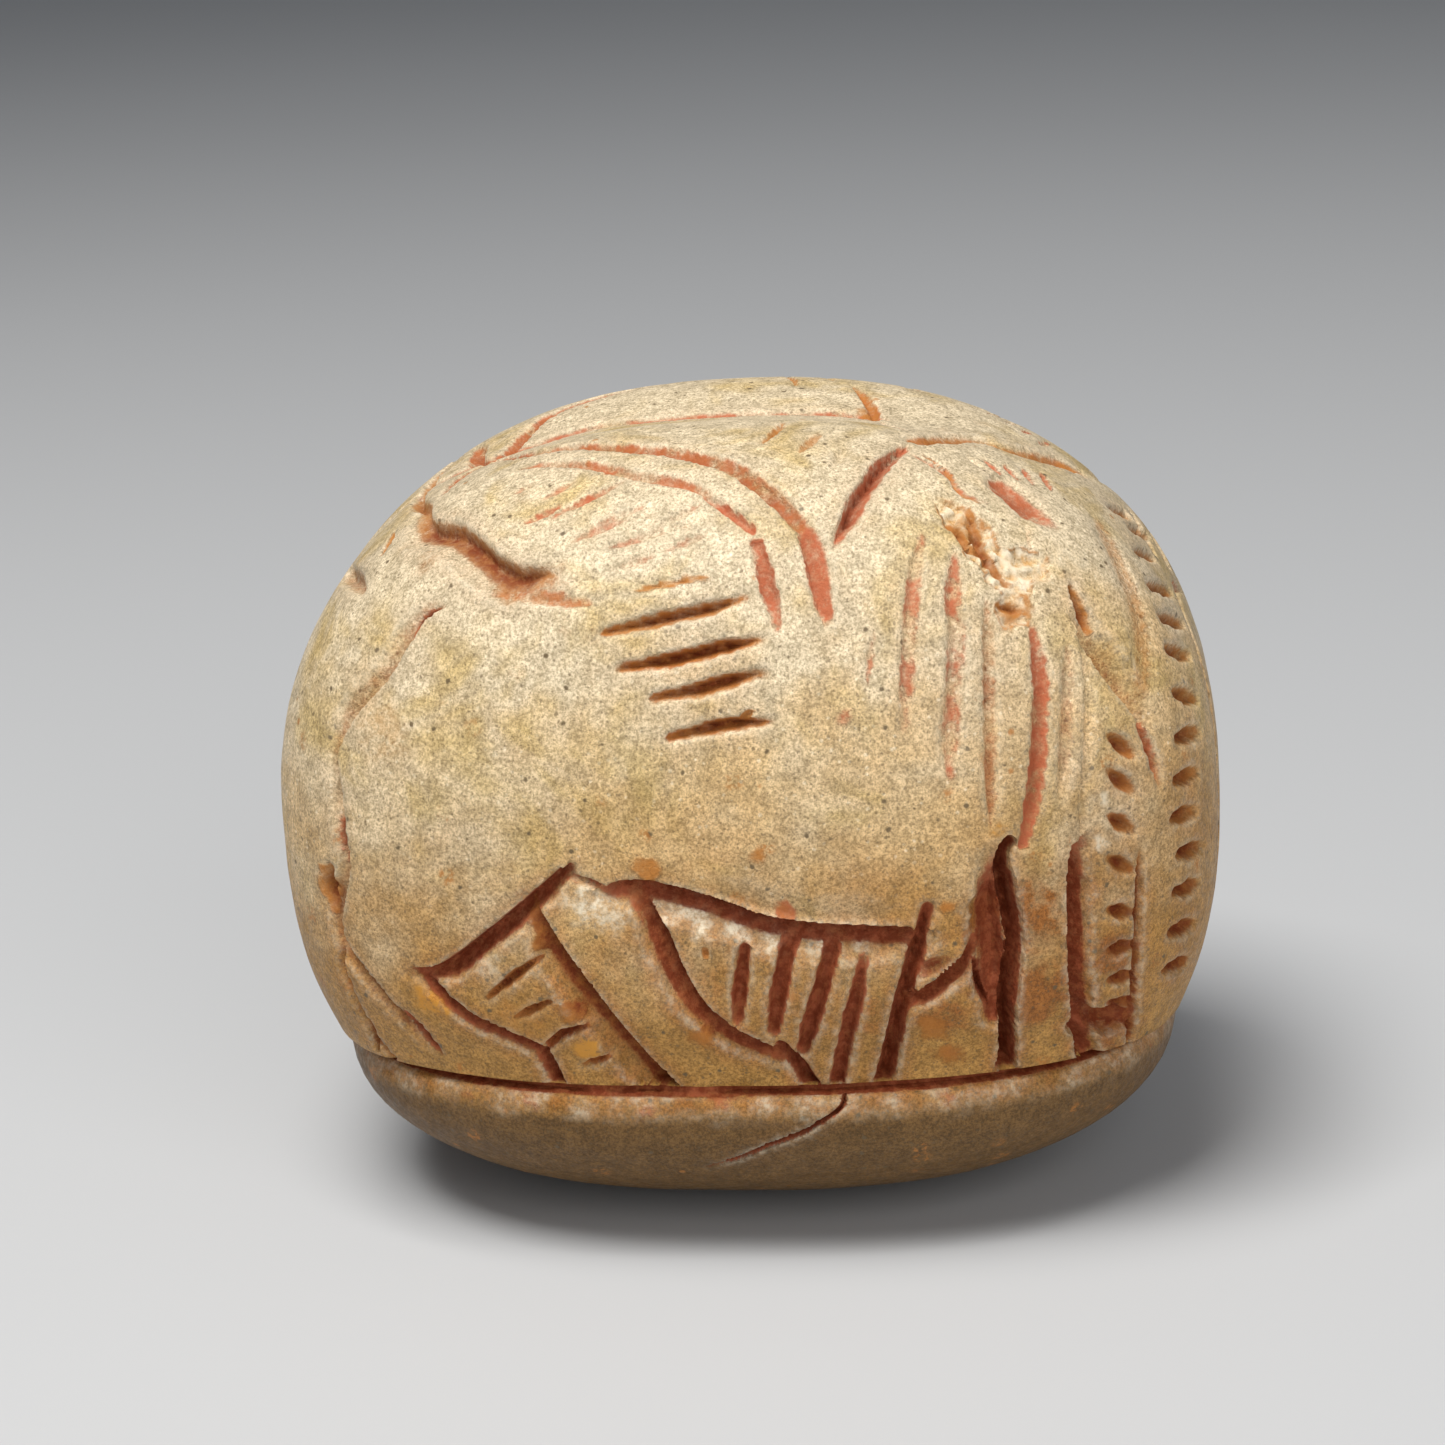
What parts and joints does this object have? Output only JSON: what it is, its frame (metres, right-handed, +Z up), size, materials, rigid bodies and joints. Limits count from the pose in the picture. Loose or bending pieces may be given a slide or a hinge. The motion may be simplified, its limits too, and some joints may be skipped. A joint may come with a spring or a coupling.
{
  "type": "carved stone scarab bead",
  "caption": "Beetle-shaped amulet carved from one speckled tan stone: domed wing cases, folded hatched legs over a rounded base, and a lengthwise threading hole.",
  "frame": {"origin": "middle of the small flat spot on the underside that the stone rests on", "axes": "+X along the beetle towards its head, +Y across it, +Z up through its back"},
  "size_m": [0.0458, 0.0356, 0.0382],
  "materials": {
    "stone": "satin, fine speckled tan stone with red residue in the cuts"
  },
  "bodies": {
    "root": {"carved_scarab": "stone"}
  },
  "joints": []
}
